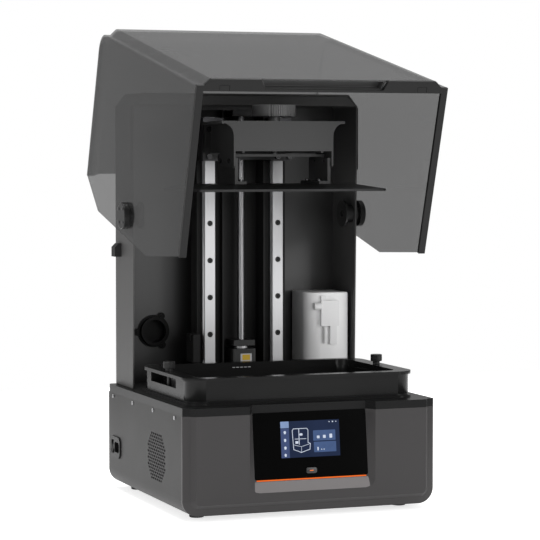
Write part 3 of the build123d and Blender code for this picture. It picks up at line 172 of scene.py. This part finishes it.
MAT = {
    "shell_grey": surface("powder_coat_grey", (0.021, 0.0202, 0.0202), 0.46, peel_bump=0.16,
                          grain_bump=0.08, specular=0.2),
    "fascia_grey": surface("moulded_grey", (0.038, 0.036, 0.0365), 0.44, grain_bump=0.12,
                           grain=1900, specular=0.25),
    "deck_grey": surface("deck_black", (0.009, 0.009, 0.0092), 0.3, grain_bump=0.05, grain=1900,
                         specular=0.1),
    "dark_metal": surface("dark_coated_metal", (0.009, 0.009, 0.009), 0.33, peel_bump=0.05,
                          specular=0.8),
    "tower_grey": surface("tower_coat", (0.068, 0.0673, 0.0667), 0.5, peel_bump=0.14,
                          grain_bump=0.08, specular=0.4),
    "display_black": surface("display_glass", (0.0015, 0.0015, 0.0015), 0.16, grain_bump=0.0,
                             rough_spread=0.05, cloud=30, specular=0.03),
    "lcd": glow("screen_blue", (0.0125, 0.021, 0.053), 1.0, base=(0.004, 0.005, 0.008), rough=0.2,
                vary=0.12, scale=22.0),
    "button_black": surface("button_plastic", (0.02, 0.02, 0.02), 0.3, grain_bump=0.08),
    "black_plastic": surface("black_plastic", (0.01, 0.01, 0.01), 0.42, grain_bump=0.1,
                             specular=0.2),
    "rubber_black": surface("rubber", (0.008, 0.008, 0.008), 0.75, grain_bump=0.25, grain=1400),
    "screw_steel": surface("screw_steel", (0.42, 0.42, 0.43), 0.3, metallic=1.0, grain_bump=0.06),
    "screw_dark": surface("dark_screw_steel", (0.11, 0.11, 0.112), 0.26, metallic=1.0,
                          grain_bump=0.06),
    "screw_black": surface("blackened_screw", (0.03, 0.03, 0.03), 0.35, metallic=0.6,
                           grain_bump=0.06),
    "socket_steel": surface("pressed_steel", (0.5, 0.5, 0.5), 0.3, metallic=1.0, grain_bump=0.05),
    "screen_glass": surface("mask_glass", (0.008, 0.008, 0.01), 0.06, grain_bump=0.0,
                            rough_spread=0.03),
    "hood_sheet": surface("light_box_sheet", (0.6, 0.6, 0.6), 0.4, metallic=0.8, grain_bump=0.05),
    "circuit_green": surface("circuit_board", (0.02, 0.12, 0.05), 0.4, grain_bump=0.1, spread=0.25,
                             cloud=120),
    "raw_aluminium": surface("raw_aluminium", (0.6, 0.6, 0.61), 0.38, metallic=1.0,
                             stretch=(1, 1, 12), grain_bump=0.1, grain=300),
    "supply_steel": surface("galvanised", (0.5, 0.5, 0.51), 0.4, metallic=0.9, cloud=60,
                            spread=0.2),
    "port_black": surface("port_plastic", (0.006, 0.006, 0.006), 0.45, grain_bump=0.16,
                          specular=0.12),
    "pin_steel": surface("turned_steel", (0.28, 0.28, 0.29), 0.35, metallic=1.0, grain_bump=0.05),
    "thread_steel": surface("thread_steel", (0.55, 0.55, 0.56), 0.3, metallic=1.0,
                            grain_bump=0.05),
    "column_black": surface("anodised_black", (0.007, 0.007, 0.007), 0.42, stretch=(1, 1, 0.06),
                            grain=900, grain_bump=0.1, specular=0.2),
    "rail_steel": surface("ground_steel", (0.57, 0.57, 0.58), 0.42, metallic=1.0,
                          stretch=(1, 1, 0.04), grain=1200, grain_bump=0.1, spread=0.05),
    "motor_black": surface("motor_coat", (0.02, 0.02, 0.02), 0.5, peel_bump=0.12),
    "bearing_metal": surface("bearing_block", (0.035, 0.035, 0.035), 0.42, metallic=0.4,
                             grain_bump=0.1),
    "vat_black": surface("vat_anodised", (0.011, 0.011, 0.011), 0.24, grain_bump=0.05, grain=1500,
                         specular=0.16),
    "film_metal": surface("film_ring", (0.03, 0.03, 0.03), 0.4, metallic=0.4, grain_bump=0.1),
    "film_clear": surface("release_film", (0.1, 0.1, 0.1), 0.12, grain_bump=0.0, rough_spread=0.04,
                          alpha=0.6, peel=40, peel_bump=0.1),
    "cover_grey": surface("smoked_moulding", (0.045, 0.045, 0.0455), 0.26, grain_bump=0.04,
                          grain=1900, alpha=0.64, rough_spread=0.05, specular=0.6),
    "cover_smoke": surface("smoked_sheet", (0.016, 0.016, 0.0163), 0.1, grain_bump=0.0,
                           rough_spread=0.04, alpha=0.6, cloud=14),
    "rim_black": surface("rim_black", (0.008, 0.008, 0.008), 0.34, grain_bump=0.06, grain=1900,
                         specular=0.22),
    "pull_grey": surface("finger_pull", (0.05, 0.05, 0.05), 0.38, grain_bump=0.1, grain=1900),
    "disc_grey": surface("hinge_disc", (0.014, 0.014, 0.014), 0.35, grain_bump=0.1, specular=0.3),
    "block_steel": surface("guide_block_steel", (0.1, 0.1, 0.105), 0.35, metallic=1.0,
                           grain_bump=0.08),
    "nut_brass": surface("nut_brass", (0.5, 0.34, 0.12), 0.32, metallic=1.0, grain_bump=0.06),
    "arm_grey": surface("arm_coat", (0.048, 0.048, 0.048), 0.42, specular=0.35, peel_bump=0.12,
                        grain_bump=0.1),
    "platform_metal": surface("platform_blasted", (0.019, 0.019, 0.0195), 0.4, metallic=0.5,
                              grain_bump=0.3, grain=1600),
    "knob_black": surface("knob_plastic", (0.14, 0.14, 0.14), 0.36, grain_bump=0.1),
    "bottle_white": surface("bottle_white", (0.95, 0.95, 0.95), 0.36, grain_bump=0.06,
                            spread=0.02),
    "pump_grey": surface("pump_white", (0.84, 0.84, 0.84), 0.38, grain_bump=0.06, spread=0.03),
    "orange_light": glow("orange_strip", (1.0, 0.13, 0.01), 0.55, base=(0.4, 0.08, 0.01)),
}

slot_of = {s["node"]: s["material_slot"] for s in frame["record"]["subparts"]}
finish_of = {
    "cover_rim": "rim_black",
    "cover_catches": "rim_black",
    "cover_handle": "pull_grey",
    "lift_screws": "screw_dark",
    "hinge_screws": "screw_dark",
    "lead_screw": "screw_dark",
    "hinge_pins": "disc_grey",
    "shell_screws": "screw_steel",
}
for name, obj in nodes.items():
    obj.data.materials.clear()
    obj.data.materials.append(MAT[finish_of.get(name, slot_of[name])])


def soften(names, width, angle=30, segments=2):
    """Weld the imported faces and round their sharp edges a little, as moulding and coating do."""
    for name in names:
        obj = nodes[name]
        weld = obj.modifiers.new("weld", "WELD")
        weld.merge_threshold = 0.000005
        flat = obj.modifiers.new("flat", "DECIMATE")
        flat.decimate_type = "DISSOLVE"
        flat.angle_limit = math.radians(0.6)
        bevel = obj.modifiers.new("bevel", "BEVEL")
        bevel.width = width / 1000
        bevel.segments = segments
        bevel.limit_method = "ANGLE"
        bevel.angle_limit = math.radians(angle)
        bevel.miter_outer = "MITER_ARC"
        bevel.use_clamp_overlap = True
        bevel.harden_normals = False


soften(["deck", "front_fascia", "vat", "tower_shell", "tower_header"], 0.8)
soften(["cover_rim", "cover_handle", "arm_bracket", "platform_yoke", "build_platform"], 0.6)
soften(["feed_bottle", "feed_pump", "lift_motor", "home_sensor"], 0.7)
soften(["display_glass", "power_button", "power_inlet", "rocker_switch", "screw_bearings",
        "guide_blocks"], 0.3)


# ---------------------------------------------------------------- added pieces
def add_piece(name, verts, faces, material, slot, body, smooth=False):
    """Mesh piece in metres in the row frame, moving with `body`."""
    mesh = bpy.data.meshes.new(name)
    mesh.from_pydata([tuple(v) for v in verts], [], faces)
    mesh.validate()
    bm = bmesh.new()
    bm.from_mesh(mesh)
    bmesh.ops.recalc_face_normals(bm, faces=bm.faces)
    bm.to_mesh(mesh)
    bm.free()
    if smooth:
        mesh.polygons.foreach_set("use_smooth", [True] * len(mesh.polygons))
    obj = bpy.data.objects.new(name, mesh)
    scene.collection.objects.link(obj)
    mesh.materials.append(material)
    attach(obj, body)
    return obj


def thread(name, x, y, low, high, crest, root, lead, starts, node, body, material, slot):
    """Threaded rod that stands for a plain one; `lead` is the rise per turn."""
    around = 24
    step = lead / starts / 4
    rings = int(round((high - low) / step))
    verts = []
    faces = []
    for i in range(rings + 1):
        z = low + (high - low) * i / rings
        for k in range(around):
            turn = k / around
            phase = (z / lead - turn) * starts
            phase = phase - math.floor(phase)
            depth = abs(2 * phase - 1)
            r = root + (crest - root) * min(1.0, 1.6 * depth)
            a = 2 * math.pi * turn
            verts.append(at(x + r * math.cos(a), y + r * math.sin(a), z))
    for i in range(rings):
        for k in range(around):
            a, b = i * around + k, i * around + (k + 1) % around
            faces.append((a, b, b + around, a + around))
    faces.append(tuple(reversed(range(around))))
    faces.append(tuple(rings * around + k for k in range(around)))
    rod = add_piece(name, verts, faces, material, slot, body)
    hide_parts(node)
    return rod


thread("lead_screw_thread", x=0, y=116, low=228.7, high=602.4, crest=6.0, root=5.1, lead=8.0,
       starts=4, node="lead_screw", body="screw", material=MAT["thread_steel"], slot="screw_steel")

# The display leans back: TILT is its lean, and its lower front edge is at SCREEN_Y, SCREEN_Z.
# The ledge below it slopes from that edge down to LEDGE_Y, LEDGE_Z at the recess's mouth.
TILT = math.atan2(11.5, 100.1)
SCREEN_Y, SCREEN_Z = -194.5, 54.9
LEDGE_Y, LEDGE_Z = -199.5, 38.5


def on_screen(u, v, depth):
    """Point on the tilted display: u to the right, v up its face, `depth` mm behind its front."""
    y = SCREEN_Y + v * math.sin(TILT) + depth * math.cos(TILT)
    z = SCREEN_Z + v * math.cos(TILT) - depth * math.sin(TILT)
    return at(u, y, z)


def slab_on_screen(shapes, front, back):
    """Vertices and faces of flat shapes, each a list of (u, v), `front` to `back` mm deep."""
    verts = []
    faces = []
    for shape in shapes:
        k = len(shape)
        first = len(verts)
        verts += [on_screen(u, v, front) for u, v in shape]
        verts += [on_screen(u, v, back) for u, v in shape]
        faces.append(tuple(range(first, first + k)))
        faces.append(tuple(reversed(range(first + k, first + 2 * k))))
        for i in range(k):
            j = (i + 1) % k
            faces.append((first + i, first + k + i, first + k + j, first + j))
    return verts, faces


def card(u0, u1, v0, v1, r=1.0):
    """Rectangle with rounded corners."""
    points = []
    centres = ((u1 - r, v1 - r, 0), (u0 + r, v1 - r, 90), (u0 + r, v0 + r, 180), (u1 - r, v0 + r, 270))
    for cu, cv, start in centres:
        for k in range(4):
            a = math.radians(start + 30 * k)
            points.append((cu + r * math.cos(a), cv + r * math.sin(a)))
    return points


def stroke(points, width, closed=False):
    """Thin quads along a line."""
    shapes = []
    pairs = list(zip(points, points[1:] + points[:1])) if closed else list(zip(points, points[1:]))
    for (u0, v0), (u1, v1) in pairs:
        length = math.hypot(u1 - u0, v1 - v0)
        du, dv = (u1 - u0) / length, (v1 - v0) / length
        h = width / 2
        shapes.append([(u0 - du * h + dv * h, v0 - dv * h - du * h),
                       (u1 + du * h + dv * h, v1 + dv * h - du * h),
                       (u1 + du * h - dv * h, v1 + dv * h + du * h),
                       (u0 - du * h - dv * h, v0 - dv * h + du * h)])
    return shapes


def disc(u, v, r, n=12):
    """Round dot as an `n`-sided outline."""
    angles = [2 * math.pi * k / n for k in range(n)]
    return [(u + r * math.cos(a), v + r * math.sin(a)) for a in angles]


# Front and back of a layer, in mm behind the glass's face: the panels lie under the icons.
PANEL_DEPTH = (0.12, 0.19)
ICON_DEPTH = (0.04, 0.11)


def screen_layer(name, shapes, depth, color):
    """Lit shapes on the display."""
    material = glow(name, color, 1.0, base=(0.01, 0.01, 0.012), vary=0.06, scale=90.0)
    return add_piece(name, *slab_on_screen(shapes, *depth), material, "lcd", "base")


screen_layer("screen_sidebar", [card(-46.8, -33.6, 33.2, 76.5, 0.3)], PANEL_DEPTH, (0.045, 0.07, 0.17))
screen_layer("screen_home_tab", [card(-46.8, -33.6, 77.2, 86.8, 0.3)], PANEL_DEPTH, (0.22, 0.31, 0.52))
screen_layer("screen_cards", [card(4.6, 40.2, 56.6, 72.0), card(5.2, 40.8, 39.6, 55.0)],
             PANEL_DEPTH, (0.052, 0.095, 0.215))
icons = []
for k, v in enumerate((71.0, 59.6, 48.2, 37.6)):
    icons += [disc(-40.2, v, 2.0 - 0.15 * (k % 2)), card(-41.6, -38.8, v - 2.6, v - 1.2, 0.3)]
for k in range(3):
    icons.append(disc(31.0 + 5.4 * k, 84.0, 0.8 + 0.3 * (k == 1)))
for u, h in ((12.6, 4.0), (22.4, 4.6), (32.8, 6.0)):
    icons.append(card(u - 2.2, u + 2.2, 60.0, 60.0 + h, 0.8))
icons += [card(10.6, 12.6, 42.0, 47.2, 0.6), disc(17.4, 43.6, 0.8), disc(21.2, 43.6, 0.8)]
# outline of the drawing on the display, then its inner lines
outer = [(-27.0, 45.0), (-15.0, 40.2), (-1.2, 44.6), (-0.4, 53.0), (-4.0, 54.6), (-3.4, 73.0),
         (-5.2, 75.6), (-26.6, 75.6), (-28.4, 73.0), (-27.6, 54.0)]
icons += stroke(outer, 0.9, closed=True)
icons += stroke([(-27.4, 52.0), (-14.8, 48.8), (-1.2, 52.6)], 0.6)
icons += stroke([(-18.0, 74.6), (-18.0, 52.4)], 1.0) + stroke([(-14.6, 48.8), (-14.8, 40.6)], 0.5)
icons += stroke([(-24.6, 60.4), (-7.0, 60.4)], 0.8) + stroke([(-18.0, 66.6), (-12.4, 66.6)], 0.9)
icons += [card(-16.8, -12.6, 65.2, 68.6, 0.4), card(-24.0, -19.4, 53.4, 57.2, 0.4)]
screen_layer("screen_icons", icons, ICON_DEPTH, (0.62, 0.68, 0.8))

# the button's face stands proud of the glass, so its mark has negative depths
mark = [card(-3.0, 3.0, 12.5, 13.7, 0.5)]
add_piece("button_mark", *slab_on_screen(mark, -0.48, -0.38),
          glow("button_light", (1.0, 0.2, 0.03), 1.1), "orange_light", "button")


def painted_lit_ledge():
    """Lighter strip on the sloped ledge under the display, from the glass to the recess's mouth. Its
    pale grey is painted light: it stands in for the light from above that the ledge catches.
    """
    steps = 12
    half_front, taper = 99.2, 9.6      # half width at the mouth, and how much it narrows to the glass
    corner, corner_share = 14.2, 0.82  # size of the lower corners, and the share of the slope they take
    set_back, reach = 0.6, 0.94        # distance from the mouth, and the share of the slope covered
    back_y = SCREEN_Y + 0.3 * math.sin(TILT)
    back_z = SCREEN_Z + 0.3 * math.cos(TILT)
    run = math.hypot(back_y - LEDGE_Y, back_z - LEDGE_Z)
    along_y, along_z = (back_y - LEDGE_Y) / run, (back_z - LEDGE_Z) / run
    out_y, out_z = -along_z, along_y
    verts = []
    for lift in (0.05, 0.45):
        for k in range(steps + 1):
            t = k / steps
            to_edge = 1 - min(1.0, t / corner_share)
            narrow = corner * (1 - math.sqrt(max(0.0, 1 - to_edge ** 2)))
            half = half_front - taper * t - narrow
            y = LEDGE_Y + along_y * run * t * reach + out_y * lift + along_y * set_back
            z = LEDGE_Z + along_z * run * t * reach + out_z * lift + along_z * set_back
            verts += [at(-half, y, z), at(half, y, z)]
    per = 2 * (steps + 1)
    faces = []
    for a in range(0, 2 * steps, 2):
        faces.append((per + a, per + a + 1, per + a + 3, per + a + 2))
        faces.append((a, a + 2, a + 3, a + 1))
        faces.append((a, per + a, per + a + 2, a + 2))
        faces.append((a + 1, a + 3, per + a + 3, per + a + 1))
    last = 2 * steps
    faces.append((0, 1, per + 1, per))
    faces.append((last, per + last, per + last + 1, last + 1))
    # painted light: a lighter copy of the fascia's grey, standing in for the light from above on the
    # sloped ledge
    painted_lit_coat = surface("painted_lit_ledge_grey", (0.15, 0.14, 0.14), 0.4, grain_bump=0.08, grain=1900, specular=0.4)
    return add_piece("painted_lit_ledge", verts, faces, painted_lit_coat, "fascia_grey", "base")


painted_lit_ledge()


def plate(x0, x1, z0, z1, y0, y1, r):
    """Upright plate with rounded corners facing the front."""
    shape = card(x0, x1, z0, z1, r)
    k = len(shape)
    verts = [at(x, y0, z) for x, z in shape] + [at(x, y1, z) for x, z in shape]
    faces = [tuple(range(k)), tuple(reversed(range(k, 2 * k)))]
    faces += [(i, k + i, k + (i + 1) % k, (i + 1) % k) for i in range(k)]
    return verts, faces


label_white = surface("label_white", (0.6, 0.6, 0.62), 0.5, grain_bump=0.03, spread=0.03)
label_yellow = surface("label_yellow", (0.72, 0.46, 0.02), 0.5, grain_bump=0.03, spread=0.06)
add_piece("motor_label", *plate(-7.5, 11.5, 205.0, 217.0, 96.25, 96.48, 0.8), label_white,
          "motor_black", "base")
add_piece("motor_label_patch", *plate(-4.5, 8.5, 206.6, 215.4, 96.05, 96.24, 0.6), label_yellow,
          "motor_black", "base")

# dashes of the filling mark on the vat's rear wall
DASHES, DASH_LEFT, DASH_LENGTH, DASH_PITCH = 5, -34, 4.5, 6.5
tick_verts = []
tick_faces = []
for k in range(DASHES):
    left = DASH_LEFT + DASH_PITCH * k
    v, f = plate(left, left + DASH_LENGTH, 198.6, 199.6, 60.75, 60.98, 0.3)
    tick_faces += [tuple(i + len(tick_verts) for i in face) for face in f]
    tick_verts += v
add_piece("fill_line", tick_verts, tick_faces, label_white, "vat_black", "base")


# ---------------------------------------------------------------- floor, lights, camera
FLOOR_HALF = 1.6      # half the floor's side, in metres
FLOOR_GLOW = 0.72     # its own light, so that it stays as pale as the backdrop
AMBIENT = 0.5         # even light on the object
BACKDROP = 1.0        # white that the camera sees behind it


def make_floor():
    """Pale square floor under the object."""
    h = FLOOR_HALF
    mesh = bpy.data.meshes.new("floor")
    mesh.from_pydata([(-h, -h, 0.0), (h, -h, 0.0), (h, h, 0.0), (-h, h, 0.0)], [], [(0, 1, 2, 3)])
    floor = bpy.data.objects.new("floor", mesh)
    scene.collection.objects.link(floor)
    pale = surface("floor_pale", (0.86, 0.86, 0.86), 0.8, spread=0.01, grain_bump=0.0)
    bsdf = next(n for n in pale.node_tree.nodes if n.type == "BSDF_PRINCIPLED")
    bsdf.inputs["Emission Color"].default_value = (1, 1, 1, 1)
    bsdf.inputs["Emission Strength"].default_value = FLOOR_GLOW
    floor.data.materials.append(pale)


def area_light(name, location, target, size, power):
    """Rectangular lamp at `location`, facing `target`, in metres and watts."""
    data = bpy.data.lights.new(name, "AREA")
    data.shape = "RECTANGLE"
    data.size, data.size_y = size
    data.energy = power
    lamp = bpy.data.objects.new(name, data)
    lamp.location = location
    lamp.rotation_euler = (Vector(target) - Vector(location)).to_track_quat("-Z", "Y").to_euler()
    scene.collection.objects.link(lamp)
    return lamp


def make_world():
    """White behind the object, and a weaker even light on it."""
    world = bpy.data.worlds.new("studio")
    world.use_nodes = True
    n, l = world.node_tree.nodes, world.node_tree.links
    out = n["World Output"]
    even = n["Background"]
    even.inputs["Color"].default_value = (1, 1, 1, 1)
    even.inputs["Strength"].default_value = AMBIENT
    backdrop = n.new("ShaderNodeBackground")
    backdrop.inputs["Color"].default_value = (1, 1, 1, 1)
    backdrop.inputs["Strength"].default_value = BACKDROP
    path = n.new("ShaderNodeLightPath")
    mix = n.new("ShaderNodeMixShader")
    l.new(path.outputs["Is Camera Ray"], mix.inputs["Fac"])
    l.new(even.outputs["Background"], mix.inputs[1])
    l.new(backdrop.outputs["Background"], mix.inputs[2])
    l.new(mix.outputs["Shader"], out.inputs["Surface"])
    scene.world = world


make_floor()
make_world()
area_light("key_light", location=(2.2, -3.2, 1.1), target=(0, 0, 0.35), size=(1.4, 1.8), power=26)
area_light("side_light", location=(-3.4, -1.3, 1.5), target=(0, 0, 0.35), size=(1.8, 1.8), power=14)
area_light("top_light", location=(0, 0.4, 3.4), target=(0, 0, 0), size=(2.6, 2.6), power=100)
area_light("under_cover_light", location=(0.25, -1.9, 0.72), target=(0.02, 0.0, 0.5),
           size=(0.5, 0.3), power=2.2)

scene.view_settings.view_transform = "Standard"

# Main view, from the left and slightly above: `azimuth` is the turn from straight ahead, `pitch`
# the height above level, and `back` points from the object to the camera.
camera_data = bpy.data.cameras.new("camera")
camera_data.lens = 147.945
camera_data.sensor_width = 36.0
camera_data.clip_end = 100.0
camera = bpy.data.objects.new("camera", camera_data)
azimuth = math.radians(-20.611)
pitch = math.radians(3.029)
level = math.cos(pitch)
back = Vector((math.sin(azimuth) * level, -math.cos(azimuth) * level, math.sin(pitch)))
camera.location = at(-1208.854, -3231.538, 538.302)
camera.rotation_euler = back.to_track_quat("Z", "Y").to_euler()
scene.collection.objects.link(camera)
scene.camera = camera
